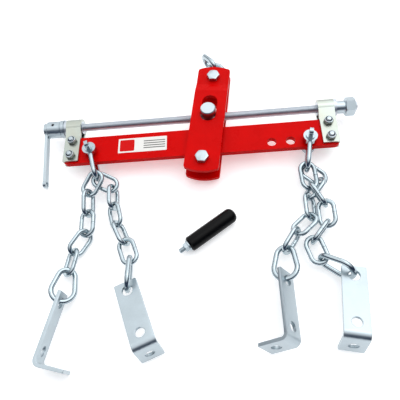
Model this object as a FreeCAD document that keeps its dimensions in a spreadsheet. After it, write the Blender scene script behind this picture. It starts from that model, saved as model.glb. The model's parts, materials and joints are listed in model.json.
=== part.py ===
import FreeCAD, Part
import math
import os
import re
import Sketcher

# Engine load leveler lying on its back: a flat load bar, a lead screw held in two
# end straps, a tilting trolley on a cross-barrel nut, two shackles and four chains
# with corner brackets, and the loose crank grip beside it.
# Datum: X along the bar from its middle, Y from the bar's lower edge towards the
# screw, Z up from the table.  Millimetres and degrees.

Vec = FreeCAD.Vector
doc = FreeCAD.newDocument("engine_load_leveler")
sheet = doc.addObject("Spreadsheet::Sheet", "Sizes")

SIZES = {
    # place of the whole on the table
    "origin_x": -1.0, "origin_y": -50.1, "mid_height": 30.0,
    # load bar and its holes
    "bar_length": 454.0, "bar_width": 50.0, "bar_thick": 9.0, "bar_corner": 9.0,
    "bar_hole": 15.0, "hole_row": 13.5, "hole_pitch": 30.0, "hole_inset": 47.0,
    "left_hole_row": 22.0,
    # lead screw, bushes and end pieces
    "screw_dia": 14.0, "screw_row": 75.0, "bush_dia": 22.0, "bush_flange": 28.0,
    "flange_thick": 5.0, "run_fit": 0.05, "end_gap": 0.3,
    "collar_dia": 31.0, "collar_thick": 6.0, "sleeve_dia": 21.0, "sleeve_length": 14.0,
    "end_nut_across": 27.0, "end_nut_thick": 16.0, "screw_tail": 4.0,
    "hub_dia": 29.0, "hub_length": 25.0, "pin_dia": 5.0,
    # crank arm
    "arm_reach": 98.0, "arm_width": 11.0, "arm_thick": 5.0, "arm_dip": 13.5, "arm_boss": 24.0,
    "arm_eye": 14.0,
    # end straps and their bolts
    "strap_inset": 1.0, "strap_width": 26.0, "strap_thick": 4.0, "strap_low": 3.0,
    "strap_neck": 52.0, "strap_bolt": 8.0, "strap_across": 14.0, "strap_nut_thick": 7.0,
    "strap_head": 5.5, "strap_bolt_end": 2.5, "strap_bolt_low": 13.5, "strap_bolt_pitch": 28.5,
    # trolley
    "trolley_x": 20.0, "trolley_tilt": 8.0, "plate_width": 56.0, "plate_thick": 6.0,
    "plate_gap": 20.4, "top_gap": 13.0, "plate_low": 114.0, "plate_high": 102.0,
    "jog_start": 46.0, "jog_end": 62.0, "dome_rise": 6.0, "plate_corner": 5.0,
    "barrel_dia": 25.0, "barrel_length": 54.0, "barrel_play": 0.4, "slot_low": 5.0, "slot_high": 22.0,
    "top_bolt_row": 78.7, "low_bolt_row": 90.0, "main_bolt": 12.0, "main_across": 19.0,
    "main_head": 7.5, "main_nut": 10.0, "main_bolt_end": 3.8, "bolt_play": 0.5,
    "spacer_dia": 18.0,
    # lifting links
    "lift_wire": 9.0, "lift_low_length": 41.0, "lift_length": 36.0, "lift_width": 15.0,
    "lift_heading": 118.0, "lift_rise": -20.0, "lift_roll": 84.0,
    # shackles
    "shackle_wire": 8.0, "shackle_width": 20.0, "shackle_length": 47.0, "ear_dia": 22.0,
    "ear_proud": 0.5, "shackle_pin": 9.5, "pin_stand": 1.0, "pin_collar": 15.0,
    "pin_collar_thick": 3.0, "seat_gap": 0.5, "eye_length": 13.0, "eye_thick": 6.0,
    "eye_hole": 5.0, "eye_width": 12.0,
    "left_swing": -75.0, "right_swing": -101.0, "bow_share": 32.0,
    # chains
    "wire": 7.0, "link_length": 34.0, "link_width": 16.0, "link_gap": 0.5,
    "ring_wire": 8.0, "ring_length": 42.0, "ring_wide": 26.0, "ring_narrow": 18.0,
    "first_drop": -14.0, "rest_lift": 2.1,
    # corner brackets
    "long_leg": 104.0, "short_leg": 46.0, "bracket_width": 34.0, "bracket_thick": 5.0,
    "bend_inner": 5.0, "chain_hole": 16.0, "chain_hole_edge": 15.0, "bolt_hole": 14.0,
    "long_hole_back": 21.0, "short_hole_back": 18.0, "bracket_corner": 6.0,
    "hole_height_a": 21.0, "hole_height_b": 24.8, "hole_height_c": 21.0, "hole_height_d": 26.0,
    # loose grip
    "grip_x": 17.0, "grip_y": -122.0, "grip_heading": 34.6, "grip_dia": 24.0, "grip_length": 86.0,
    "grip_round": 9.0, "grip_bevel": 2.0, "stud_dia": 8.0, "stud_length": 9.0, "stud_hex": 13.0,
    "hex_thick": 6.0, "stud_flange": 18.0, "stud_flange_thick": 2.5, "stud_depth": 60.0, "stud_play": 1.0,
}
for row, (name, number) in enumerate(SIZES.items(), 1):
    sheet.set("A%d" % row, name)
    sheet.set("B%d" % row, str(number))
    sheet.setAlias("B%d" % row, name)
doc.recompute()

# Each chain: its shackle, its half of the bow, then the heading of every link and its
# roll about its own length; the last entry is the ring that carries the bracket.
STRANDS = {
    "a": ("left", 1, (-120, -90, -90, -120, -100, -95), (-5, -70, 20, -50, 40, -30)),
    "b": ("left", -1, (-25, -85, -75, -65, -70, -90), (10, -70, 40, -65, 5, 80)),
    "c": ("right", -1, (-35, -130, -90, -140, -125, -95), (5, 50, -50, 25, -70, 20)),
    "d": ("right", 1, (-85, -60, -90, -130, -75, -35), (-10, 105, 20, 90, 10, 80)),
}
# Heading, rise and roll of each bracket's long leg.
BRACKETS = {
    "a": (-104, 0, 84),
    "b": (-68, 14, 0),
    "c": (-91, 13, -55),
    "d": (-100, 14, 0),
}


def size(name):
    return float(sheet.get(name))


def bound(text):
    """Turn the bare names in a formula into references to the sheet."""
    return re.sub(r"[a-z_]+", lambda m: "Sizes." + m.group(0) if m.group(0) in SIZES else m.group(0), text)


def number(text):
    """Present value of a formula."""
    return float(sheet.evalExpression(bound(text)))


def drive(thing, prop, text):
    thing.setExpression(prop, bound(text))


def new_body(label):
    body = doc.addObject("PartDesign::Body", label)
    body.Label = label
    body.AllowCompound = True
    return body


def new_sketch(body, plane, offset=None):
    """Sketch on one of the body's own origin planes, shifted along its normal."""
    sketch = body.newObject("Sketcher::SketchObject", body.Label + "_sketch")
    origin = [f for f in body.Origin.OriginFeatures if f.Role == plane][0]
    sketch.AttachmentSupport = [(origin, "")]
    sketch.MapMode = "FlatFace"
    if offset:
        sketch.AttachmentOffset = FreeCAD.Placement(Vec(0, 0, number(offset)), FreeCAD.Rotation())
        drive(sketch, "AttachmentOffset.Base.z", offset)
    return sketch


def hold_distance(sketch, kind, geo, pos, text):
    index = sketch.addConstraint(Sketcher.Constraint(kind, -1, 1, geo, pos, number(text)))
    drive(sketch, "Constraints[%d]" % index, text)


def pin_point(sketch, geo, pos, x, y):
    """Hold a point of the sketch at the distances x and y from its origin."""
    hold_distance(sketch, "DistanceX", geo, pos, x)
    hold_distance(sketch, "DistanceY", geo, pos, y)


def hold_radius(sketch, geo, text):
    index = sketch.addConstraint(Sketcher.Constraint("Radius", geo, number(text)))
    drive(sketch, "Constraints[%d]" % index, text)


def circle(sketch, radius, x="0", y="0"):
    ring = Part.Circle(Vec(number(x), number(y), 0), Vec(0, 0, 1), number(radius))
    geo = sketch.addGeometry(ring, False)
    hold_radius(sketch, geo, radius)
    pin_point(sketch, geo, 3, x, y)


def outline(sketch, corners):
    """Closed outline through corners (x, y) or (x, y, radius, turn): the third and
    fourth entries make the side that leaves that corner an arc."""
    points = [Vec(number(c[0]), number(c[1]), 0) for c in corners]
    sides = []
    for i, corner in enumerate(corners):
        start, end = points[i], points[(i + 1) % len(points)]
        if len(corner) == 2:
            sides.append((sketch.addGeometry(Part.LineSegment(start, end), False), 1, 2))
            continue
        radius, turn = number(corner[2]), corner[3]
        chord = end - start
        rise = math.sqrt(max(radius ** 2 - (chord.Length / 2) ** 2, 0))
        side = Vec(-chord.y, chord.x, 0).normalize() * (1 if turn in ("left", "left_far") else -1)
        centre = (start + end) * 0.5 + side * (rise if turn in ("left", "right") else -rise)
        a1 = math.atan2(start.y - centre.y, start.x - centre.x)
        a2 = math.atan2(end.y - centre.y, end.x - centre.x)
        ring = Part.Circle(centre, Vec(0, 0, 1), radius)
        if turn in ("left", "left_far"):
            geo = sketch.addGeometry(Part.ArcOfCircle(ring, a1, a2), False)
            sides.append((geo, 1, 2))
        else:
            geo = sketch.addGeometry(Part.ArcOfCircle(ring, a2, a1), False)
            sides.append((geo, 2, 1))
        if rise > 1e-6:
            hold_radius(sketch, geo, corner[2])
        elif abs(chord.x) < abs(chord.y):
            hold_distance(sketch, "DistanceX", geo, 3, corner[0])
        else:
            hold_distance(sketch, "DistanceY", geo, 3, corner[1])
    for i, (geo, first, last) in enumerate(sides):
        after = sides[(i + 1) % len(sides)]
        sketch.addConstraint(Sketcher.Constraint("Coincident", geo, last, after[0], after[1]))
    for corner, (geo, first, last) in zip(corners, sides):
        pin_point(sketch, geo, first, corner[0], corner[1])


def hexagon(sketch, across, x="0", y="0"):
    """Six flats, the given size across them, with two corners on the X direction."""
    reach = across + " / sqrt(3)"
    outline(sketch, [("%s + %s * cos(%d)" % (x, reach, 60 * k), "%s + %s * sin(%d)" % (y, reach, 60 * k))
                     for k in range(6)])


def pad(body, sketch, length, both=False, back=False):
    feature = body.newObject("PartDesign::Pad", body.Label + "_pad")
    feature.Profile = sketch
    feature.Length = number(length)
    drive(feature, "Length", length)
    feature.Midplane = both
    feature.Reversed = back
    sketch.Visibility = False
    doc.recompute()
    return feature


def pocket_through(body, sketch):
    feature = body.newObject("PartDesign::Pocket", body.Label + "_pocket")
    feature.Profile = sketch
    feature.Type = "ThroughAll"
    feature.Midplane = True
    sketch.Visibility = False
    doc.recompute()
    return feature


def round_edges(body, base, radius, chosen, kind="PartDesign::Fillet"):
    """Fillet or chamfer the edges that the chooser accepts."""
    names = ["Edge%d" % (i + 1) for i, e in enumerate(base.Shape.Edges) if chosen(e)]
    feature = body.newObject(kind, body.Label + "_edges")
    feature.Base = (base, names)
    prop = "Radius" if kind.endswith("Fillet") else "Size"
    setattr(feature, prop, number(radius))
    drive(feature, prop, radius)
    doc.recompute()
    return feature


def along(edge, axis, length=None):
    """True for a straight edge parallel to an axis, of the given length if any."""
    if edge.Curve.TypeId != "Part::GeomLine":
        return False
    step = edge.Vertexes[-1].Point - edge.Vertexes[0].Point
    fits = length is None or abs(step.Length - length) < 1e-3
    return fits and abs(abs(step.normalize().dot(axis)) - 1) < 1e-6


AXIS_X, AXIS_Y, AXIS_Z = Vec(1, 0, 0), Vec(0, 1, 0), Vec(0, 0, 1)
MID = Vec(-size("origin_x"), -size("origin_y"), size("mid_height"))


def put(body, x=0.0, y=0.0, z=0.0, turn=None):
    """Place a piece from the datum on the bar's mid plane."""
    body.Placement = FreeCAD.Placement(MID + Vec(x, y, z), turn or FreeCAD.Rotation())


def tube(label, outer, inner, length, x=0.0):
    """Round piece on the screw's axis that starts at x."""
    body = new_body(label)
    sketch = new_sketch(body, "YZ_Plane")
    circle(sketch, outer)
    if inner:
        circle(sketch, inner)
    pad(body, sketch, length)
    put(body, x, size("screw_row"))
    return body


def strap_spots():
    """Places of the four strap bolts in the bar."""
    return [("%s(bar_length / 2 - strap_inset - strap_width / 2)" % side,
             "strap_bolt_low + %d * strap_bolt_pitch" % step)
            for side in ("-", "") for step in range(2)]


def make_bar():
    body = new_body("load_bar")
    sketch = new_sketch(body, "XY_Plane")
    outline(sketch, [("-bar_length / 2", "0"), ("bar_length / 2", "0"),
                     ("bar_length / 2", "bar_width"), ("-bar_length / 2", "bar_width")])
    blank = pad(body, sketch, "bar_thick", both=True)
    round_edges(body, blank, "bar_corner", lambda e: along(e, AXIS_Z))
    holes = new_sketch(body, "XY_Plane")
    circle(holes, "bar_hole / 2", "hole_inset - bar_length / 2", "left_hole_row")
    for step in range(3):
        circle(holes, "bar_hole / 2", "bar_length / 2 - hole_inset - %d * hole_pitch" % step, "hole_row")
    for x, y in strap_spots():
        circle(holes, "strap_bolt / 2 + run_fit", x, y)
    pocket_through(body, holes)
    put(body)


def strap_middle():
    return number("bar_length / 2 - strap_inset - strap_width / 2")


def make_strap(label, side):
    """Strip folded over the bush and down both faces of the bar."""
    body = new_body(label)
    sketch = new_sketch(body, "YZ_Plane")
    leg, out = "bar_thick / 2", "bar_thick / 2 + strap_thick"
    ring_in, ring_out = "bush_dia / 2", "bush_dia / 2 + strap_thick"
    eye = "screw_row - bush_dia / 4"
    lip = "screw_row - bush_dia / 4 - strap_thick / 2"
    wide = "(bush_dia / 2 + strap_thick) * sqrt(3) / 2"
    slim = "bush_dia / 4 * sqrt(3)"
    outline(sketch, [
        ("strap_low", out), ("strap_low", leg), ("strap_neck + strap_thick / 2", leg),
        (eye, slim, ring_in, "right_far"), (eye, "-" + slim),
        ("strap_neck + strap_thick / 2", "-(%s)" % leg), ("strap_low", "-(%s)" % leg),
        ("strap_low", "-(%s)" % out), ("strap_neck", "-(%s)" % out),
        (lip, "-(%s)" % wide, ring_out, "left_far"), (lip, wide), ("strap_neck", out)])
    pad(body, sketch, "strap_width", both=True)
    holes = new_sketch(body, "XY_Plane")
    for step in range(2):
        circle(holes, "strap_bolt / 2 + run_fit", "0", "strap_bolt_low + %d * strap_bolt_pitch" % step)
    pocket_through(body, holes)
    put(body, side * strap_middle())


def make_bush(label, side):
    """Flanged bush in the eye of a strap, flange outwards."""
    body = new_body(label)
    sketch = new_sketch(body, "YZ_Plane")
    circle(sketch, "bush_dia / 2")
    circle(sketch, "screw_dia / 2 + run_fit")
    pad(body, sketch, "strap_width", both=True)
    rim = new_sketch(body, "YZ_Plane", "strap_width / 2")
    circle(rim, "bush_flange / 2")
    circle(rim, "screw_dia / 2 + run_fit")
    pad(body, rim, "flange_thick")
    turn = FreeCAD.Rotation(AXIS_Z, 0 if side > 0 else 180)
    put(body, side * strap_middle(), size("screw_row"), 0, turn)


def make_strap_bolts():
    """Heads behind the straps, threaded ends and nuts in front."""
    bolts = new_body("strap_bolts")
    heads = new_sketch(bolts, "XY_Plane", "-bar_thick / 2 - strap_thick")
    for x, y in strap_spots():
        hexagon(heads, "strap_across", x, y)
    pad(bolts, heads, "strap_head", back=True)
    shanks = new_sketch(bolts, "XY_Plane", "-bar_thick / 2 - strap_thick")
    for x, y in strap_spots():
        circle(shanks, "strap_bolt / 2", x, y)
    pad(bolts, shanks, "bar_thick + 2 * strap_thick + strap_nut_thick + strap_bolt_end")
    put(bolts)
    nuts = new_body("strap_nuts")
    ring = new_sketch(nuts, "XY_Plane", "bar_thick / 2 + strap_thick")
    for x, y in strap_spots():
        hexagon(ring, "strap_across", x, y)
        circle(ring, "strap_bolt / 2", x, y)
    pad(nuts, ring, "strap_nut_thick")
    put(nuts)


def end_face():
    """Distance from the bar's middle to the outer face of a bush flange."""
    return strap_middle() + size("strap_width") / 2 + size("flange_thick")


def make_screw_line():
    face, gap = end_face(), size("end_gap")
    left = -face - gap - size("collar_thick") - size("hub_length") - size("arm_thick")
    body = new_body("lead_screw")
    sketch = new_sketch(body, "YZ_Plane")
    circle(sketch, "screw_dia / 2")
    reach = ("bar_length - 2 * strap_inset + 2 * flange_thick + 2 * end_gap + collar_thick + hub_length"
             " + arm_thick + sleeve_length + end_nut_thick + screw_tail")
    rod = pad(body, sketch, reach)
    round_edges(body, rod, "screw_dia / 10", lambda e: e.Curve.TypeId == "Part::GeomCircle",
                "PartDesign::Chamfer")
    for plane, spot in (("XY_Plane", "arm_thick + hub_length / 2"),
                        ("XZ_Plane", reach + " - screw_tail - end_nut_thick / 2")):
        bore = new_sketch(body, plane)
        circle(bore, "pin_dia / 2", spot, "0")
        pocket_through(body, bore)
    put(body, left, size("screw_row"))
    tube("thrust_collar", "collar_dia / 2", "screw_dia / 2", "collar_thick",
         -face - gap - size("collar_thick"))
    tube("end_sleeve", "sleeve_dia / 2", "screw_dia / 2", "sleeve_length", face + gap)
    nut = new_body("end_nut")
    sides = new_sketch(nut, "YZ_Plane")
    hexagon(sides, "end_nut_across")
    circle(sides, "screw_dia / 2")
    pad(nut, sides, "end_nut_thick")
    bore = new_sketch(nut, "XZ_Plane")
    circle(bore, "pin_dia / 2", "end_nut_thick / 2", "0")
    pocket_through(nut, bore)
    put(nut, face + gap + size("sleeve_length"), size("screw_row"))
    make_hub(-face - gap - size("collar_thick") - size("hub_length"))
    make_arm(left)
    nut_middle = face + gap + size("sleeve_length") + size("end_nut_thick") / 2
    cross_pin("end_nut_pin", "end_nut_across", nut_middle, AXIS_Y)
    cross_pin("hub_pin", "hub_dia", -face - gap - size("collar_thick") - size("hub_length") / 2, AXIS_Z)


def make_hub(start):
    """Round boss on the screw with a cross hole for its pin."""
    body = new_body("crank_hub")
    sketch = new_sketch(body, "YZ_Plane")
    circle(sketch, "hub_dia / 2")
    circle(sketch, "screw_dia / 2")
    boss = pad(body, sketch, "hub_length")
    round_edges(body, boss, "hub_dia / 20",
                lambda e: e.Curve.TypeId == "Part::GeomCircle" and e.Curve.Radius > number("screw_dia"),
                "PartDesign::Chamfer")
    hole = new_sketch(body, "XY_Plane")
    circle(hole, "pin_dia / 2", "hub_length / 2", "0")
    pocket_through(body, hole)
    put(body, start, size("screw_row"))


def cross_pin(label, across, x, axis):
    """Spring pin across the screw's axis."""
    body = new_body(label)
    sketch = new_sketch(body, "XY_Plane")
    circle(sketch, "pin_dia / 2")
    pad(body, sketch, across + " - pin_dia / 2", both=True)
    put(body, x, size("screw_row"), 0, FreeCAD.Rotation(AXIS_Z, axis))


def make_arm(start):
    """Slim crank arm square to the screw, its far eye dipping to the table."""
    body = new_body("crank_arm")
    strip = new_sketch(body, "YZ_Plane")
    half = "arm_width / 2"
    outline(strip, [("0", "-" + half), ("0", half), ("-arm_reach", half), ("-arm_reach", "-" + half)])
    pad(body, strip, "arm_thick")
    holes = new_sketch(body, "YZ_Plane")
    for y, outer, inner in (("0", "arm_boss / 2", "screw_dia / 2"),
                            ("-arm_reach", "arm_eye / 2", "stud_dia / 2")):
        eye = new_sketch(body, "YZ_Plane")
        circle(eye, outer, y, "0")
        pad(body, eye, "arm_thick")
        circle(holes, inner, y, "0")
    pocket_through(body, holes)
    put(body, start, size("screw_row"), 0, FreeCAD.Rotation(AXIS_X, size("arm_dip")))


def trolley_place(z=0.0, turn=None):
    """Placement in the trolley's own frame, centred on the barrel nut."""
    tilt = FreeCAD.Rotation(AXIS_Z, -size("trolley_tilt"))
    spot = MID + Vec(size("trolley_x"), size("screw_row"), 0)
    inside = FreeCAD.Placement(Vec(0, 0, z), turn or FreeCAD.Rotation())
    return FreeCAD.Placement(spot, tilt).multiply(inside)


def make_plate(label, front):
    """Jogged side plate with domed ends, a slot for the barrel and two bolt holes."""
    body = new_body(label)
    side = new_sketch(body, "YZ_Plane")
    low, high = "plate_gap / 2", "top_gap / 2"
    low_out, high_out = low + " + plate_thick", high + " + plate_thick"
    outline(side, [("-plate_low", low), ("jog_start", low), ("jog_end", high), ("plate_high", high),
                   ("plate_high", high_out), ("jog_end", high_out), ("jog_start", low_out),
                   ("-plate_low", low_out)])
    strip = pad(body, side, "plate_width", both=True)
    jog = (number("jog_start"), number("jog_end"))
    round_edges(body, strip, "plate_thick",
                lambda e: along(e, AXIS_X) and min(abs(e.Vertexes[0].Y - y) for y in jog) < 1e-3)
    trim = new_sketch(body, "XY_Plane")
    half = "plate_width / 2"
    outline(trim, [("-plate_width", "-plate_low * 1.5"), ("plate_width", "-plate_low * 1.5"),
                   ("plate_width", "plate_high * 1.5"), ("-plate_width", "plate_high * 1.5")])
    dome = "plate_width * plate_width / dome_rise / 8 + dome_rise / 2"
    outline(trim, [("-" + half, "-plate_low + dome_rise", dome, "left"), (half, "-plate_low + dome_rise"),
                   (half, "plate_high - dome_rise", dome, "left"), ("-" + half, "plate_high - dome_rise")])
    trimmed = pocket_through(body, trim)
    round_edges(body, trimmed, "plate_corner", lambda e: along(e, AXIS_Z))
    holes = new_sketch(body, "XY_Plane")
    wall = "(barrel_dia / 2 + barrel_play)"
    outline(holes, [("-" + wall, "-slot_low", wall, "left"), (wall, "-slot_low"),
                    (wall, "slot_high", wall, "left"), ("-" + wall, "slot_high")])
    circle(holes, "main_bolt / 2 + bolt_play", "0", "top_bolt_row")
    circle(holes, "main_bolt / 2 + bolt_play", "0", "-low_bolt_row")
    pocket_through(body, holes)
    body.Placement = trolley_place(0, None if front else FreeCAD.Rotation(AXIS_Y, 180))


def make_main_bolt(label, row, face):
    """Hex bolt through both plates with its head in front, and its nut behind."""
    bolt = new_body(label + "_bolt")
    head = new_sketch(bolt, "XY_Plane", face)
    hexagon(head, "main_across", "0", row)
    pad(bolt, head, "main_head")
    shank = new_sketch(bolt, "XY_Plane", face)
    circle(shank, "main_bolt / 2", "0", row)
    pad(bolt, shank, "2 * (%s) + main_nut + main_bolt_end" % face, back=True)
    bolt.Placement = trolley_place()
    nut = new_body(label + "_nut")
    ring = new_sketch(nut, "XY_Plane", "-(%s)" % face)
    hexagon(ring, "main_across", "0", row)
    circle(ring, "main_bolt / 2", "0", row)
    pad(nut, ring, "main_nut", back=True)
    nut.Placement = trolley_place()


def make_trolley():
    make_plate("trolley_plate_front", True)
    make_plate("trolley_plate_rear", False)
    make_main_bolt("lift", "top_bolt_row", "top_gap / 2 + plate_thick")
    make_main_bolt("keeper", "-low_bolt_row", "plate_gap / 2 + plate_thick")
    spacer = new_body("keeper_spacer")
    ring = new_sketch(spacer, "XY_Plane")
    circle(ring, "spacer_dia / 2", "0", "-low_bolt_row")
    circle(ring, "main_bolt / 2", "0", "-low_bolt_row")
    pad(spacer, ring, "plate_gap", both=True)
    spacer.Placement = trolley_place()
    barrel = new_body("travel_nut")
    disc = new_sketch(barrel, "XY_Plane")
    circle(disc, "barrel_dia / 2")
    round_bar = pad(barrel, disc, "barrel_length", both=True)
    round_edges(barrel, round_bar, "barrel_dia / 20", lambda e: e.Curve.TypeId == "Part::GeomCircle",
                "PartDesign::Chamfer")
    bore = new_sketch(barrel, "YZ_Plane")
    circle(bore, "screw_dia / 2 + run_fit")
    pocket_through(barrel, bore)
    put(barrel, size("trolley_x"), size("screw_row"))


def make_loop(label, wire, length, wide, narrow):
    """Closed link of round wire: its wide end on +X, its narrow end on -X."""
    body = new_body(label)
    path = new_sketch(body, "XY_Plane")
    big, small = "(%s + %s) / 2" % (wide, wire), "(%s + %s) / 2" % (narrow, wire)
    big_x = "(%s + %s) / 2 - %s" % (length, wire, big)
    small_x = "-(%s + %s) / 2 + %s" % (length, wire, small)
    rb, rs, xb, xs = number(big), number(small), number(big_x), number(small_x)
    lean = math.acos((rs - rb) / (xb - xs))
    full = math.pi * 2
    up = Vec(math.cos(lean), math.sin(lean), 0)
    down = Vec(up.x, -up.y, 0)
    ring_big = Part.Circle(Vec(xb, 0, 0), AXIS_Z, rb)
    ring_small = Part.Circle(Vec(xs, 0, 0), AXIS_Z, rs)
    top = path.addGeometry(Part.ArcOfCircle(ring_big, 0, lean), False)
    far = path.addGeometry(Part.LineSegment(Vec(xb, 0, 0) + up * rb, Vec(xs, 0, 0) + up * rs), False)
    end = path.addGeometry(Part.ArcOfCircle(ring_small, lean, full - lean), False)
    near = path.addGeometry(Part.LineSegment(Vec(xs, 0, 0) + down * rs, Vec(xb, 0, 0) + down * rb), False)
    low = path.addGeometry(Part.ArcOfCircle(ring_big, full - lean, full), False)
    for first, second in ((top, far), (far, end), (end, near), (near, low)):
        path.addConstraint(Sketcher.Constraint("Tangent", first, 2, second, 1))
    path.addConstraint(Sketcher.Constraint("Coincident", low, 2, top, 1))
    path.addConstraint(Sketcher.Constraint("Coincident", low, 3, top, 3))
    path.addConstraint(Sketcher.Constraint("PointOnObject", top, 1, -1))
    hold_radius(path, top, big)
    hold_radius(path, end, small)
    pin_point(path, top, 3, big_x, "0")
    pin_point(path, end, 3, small_x, "0")
    section = new_sketch(body, "XZ_Plane")
    circle(section, "%s / 2" % wire, "(%s + %s) / 2" % (length, wire), "0")
    sweep = body.newObject("PartDesign::AdditivePipe", label + "_pipe")
    sweep.Profile = section
    sweep.Spine = path
    path.Visibility = False
    section.Visibility = False
    return body


def facing(heading, rise, roll):
    """Length, width and normal directions of a link or bracket."""
    h, e, r = (math.radians(angle) for angle in (heading, rise, roll))
    length = Vec(math.cos(h) * math.cos(e), math.sin(h) * math.cos(e), math.sin(e))
    flat = Vec(-math.sin(h), math.cos(h), 0)
    width = flat * math.cos(r) + length.cross(flat) * math.sin(r)
    return length, width, length.cross(width)


def turned(axes):
    return FreeCAD.Rotation(axes[0], axes[1], axes[2], "XYZ")


def next_start(end, width_before, length_before, width, reach):
    """Wire centre of a link that hangs in the end of the one before it."""
    normal = width_before.cross(width)
    normal.normalize()
    if normal.dot(length_before) < 0:
        normal = -normal
    return end - normal * reach


def make_lift_links():
    """Two links on the upper trolley bolt: one between the plates, one for the hook."""
    wire, gap = size("lift_wire"), size("link_gap")
    long = size("lift_low_length") + wire
    lower = facing(90 - size("trolley_tilt"), 0, 0)
    bolt = trolley_place().multVec(Vec(0, size("top_bolt_row"), 0))
    start = bolt - lower[0] * (size("main_bolt") / 2 + wire / 2 + gap)
    body = make_loop("lift_link_lower", "lift_wire", "lift_low_length", "lift_width", "lift_width")
    body.Placement = FreeCAD.Placement(start + lower[0] * (long / 2), turned(lower))
    upper = facing(size("lift_heading"), size("lift_rise"), size("lift_roll"))
    start = next_start(start + lower[0] * long, lower[1], lower[0], upper[1], wire + gap)
    long = size("lift_length") + wire
    body = make_loop("lift_link_upper", "lift_wire", "lift_length", "lift_width", "lift_width")
    body.Placement = FreeCAD.Placement(start + upper[0] * (long / 2), turned(upper))


def shackle_spot(side):
    """Middle of the shackle's pin, seated on the edge of its hole, and the way it swings."""
    left = side == "left"
    x = number("hole_inset - bar_length / 2" if left else "bar_length / 2 - hole_inset")
    y = size("left_hole_row") if left else size("hole_row")
    swing = size("left_swing") if left else size("right_swing")
    drop = number("(bar_hole - shackle_pin) / 2 - seat_gap")
    return MID + Vec(x, y, 0) + facing(swing, 0, 0)[0] * drop, swing


def make_shackle(side):
    """Bent round bar with two flat ears, and its screw pin with a flat eye."""
    spot, swing = shackle_spot(side)
    place = FreeCAD.Placement(spot, FreeCAD.Rotation(AXIS_Z, swing))
    body = new_body("shackle_" + side)
    path = new_sketch(body, "XZ_Plane")
    rail = "(shackle_width + shackle_wire) / 2"
    turn_x = "shackle_length + shackle_wire / 2 - " + rail
    r, x = number(rail), number(turn_x)
    upper = path.addGeometry(Part.LineSegment(Vec(0, r, 0), Vec(x, r, 0)), False)
    ring = Part.Circle(Vec(x, 0, 0), AXIS_Z, r)
    bend = path.addGeometry(Part.ArcOfCircle(ring, -math.pi / 2, math.pi / 2), False)
    lower = path.addGeometry(Part.LineSegment(Vec(x, -r, 0), Vec(0, -r, 0)), False)
    path.addConstraint(Sketcher.Constraint("Coincident", upper, 2, bend, 2))
    path.addConstraint(Sketcher.Constraint("Coincident", bend, 1, lower, 1))
    hold_distance(path, "DistanceX", bend, 3, turn_x)
    for geo, pos, sign in ((upper, 1, ""), (lower, 2, "-")):
        pin_point(path, geo, pos, "0", sign + rail)
    for geo, pos, sign in ((upper, 2, ""), (lower, 1, "-")):
        pin_point(path, geo, pos, turn_x, sign + rail)
    section = new_sketch(body, "YZ_Plane")
    circle(section, "shackle_wire / 2", "0", rail)
    sweep = body.newObject("PartDesign::AdditivePipe", body.Label + "_pipe")
    sweep.Profile = section
    sweep.Spine = path
    doc.recompute()
    for back in (False, True):
        inside = "shackle_width / 2 - ear_proud"
        ear = new_sketch(body, "XY_Plane", "-(%s)" % inside if back else inside)
        circle(ear, "ear_dia / 2")
        pad(body, ear, "shackle_wire + 2 * ear_proud", back=back)
    bore = new_sketch(body, "XY_Plane")
    circle(bore, "shackle_pin / 2 + run_fit")
    pocket_through(body, bore)
    body.Placement = place
    make_shackle_pin(side, place)


def make_shackle_pin(side, place):
    pin = new_body("shackle_pin_" + side)
    face = "shackle_width / 2 + shackle_wire + ear_proud"
    shank = new_sketch(pin, "XY_Plane")
    circle(shank, "shackle_pin / 2")
    pad(pin, shank, "2 * (%s + pin_stand)" % face, both=True)
    collar = new_sketch(pin, "XY_Plane", face)
    circle(collar, "pin_collar / 2")
    pad(pin, collar, "pin_collar_thick")
    eye = new_sketch(pin, "XZ_Plane")
    half = "eye_width / 2"
    foot = face + " + pin_collar_thick / 2"
    crown = face + " + pin_collar_thick + eye_length - eye_width / 2"
    outline(eye, [("-" + half, foot), (half, foot), (half, crown, half, "left"), ("-" + half, crown)])
    circle(eye, "eye_hole / 2", "0", crown)
    pad(pin, eye, "eye_thick", both=True)
    pin.Placement = place


def lay_strand(letter):
    """Lay one chain from its shackle down to the table: each link hangs in the end
    of the last one, and its far end falls to the height at which it rests."""
    side, level, headings, rolls = STRANDS[letter]
    spot, swing = shackle_spot(side)
    lead = facing(swing, 0, 0)[0]
    bow = (size("shackle_width") + size("shackle_wire")) / 2
    share = math.radians(size("bow_share")) * level
    before = lead * math.cos(share) + AXIS_Z * math.sin(share)
    end = spot + lead * (size("shackle_length") + size("shackle_wire") / 2 - bow) + before * bow
    width_before, wire_before = AXIS_Z * math.cos(share) - lead * math.sin(share), size("shackle_wire")
    last = len(headings) - 1
    spans = []
    for i in range(last + 1):
        ring = i == last
        wire = size("ring_wire" if ring else "wire")
        long = size("ring_length" if ring else "link_length") + wire
        spans.append((wire, long, (size("ring_narrow" if ring else "link_width") + wire) / 2))
    places = []
    for i, (heading, roll) in enumerate(zip(headings, rolls)):
        wire, long, half = spans[i]
        if i == last:
            goal = size("hole_height_" + letter)
        else:
            goal = size("rest_lift") + max(w / 2 + h * abs(math.sin(math.radians(t)))
                                           for (w, l, h), t in zip(spans[i:i + 2], rolls[i:i + 2]))
        rise = 0.0
        for attempt in range(6):
            axes = facing(heading, rise, roll)
            reach = (wire + wire_before) / 2 + size("link_gap")
            start = next_start(end, width_before, before, axes[1], reach)
            if i == 0 and level > 0:
                rise = size("first_drop")
            else:
                rise = math.degrees(math.asin(max(-0.8, min(0.8, (goal - start.z) / long))))
        axes = facing(heading, rise, roll)
        places.append(FreeCAD.Placement(start + axes[0] * (long / 2), turned(axes)))
        end, before, width_before, wire_before = start + axes[0] * long, axes[0], axes[1], wire
    return places, bracket_place(letter, end, width_before)


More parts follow.
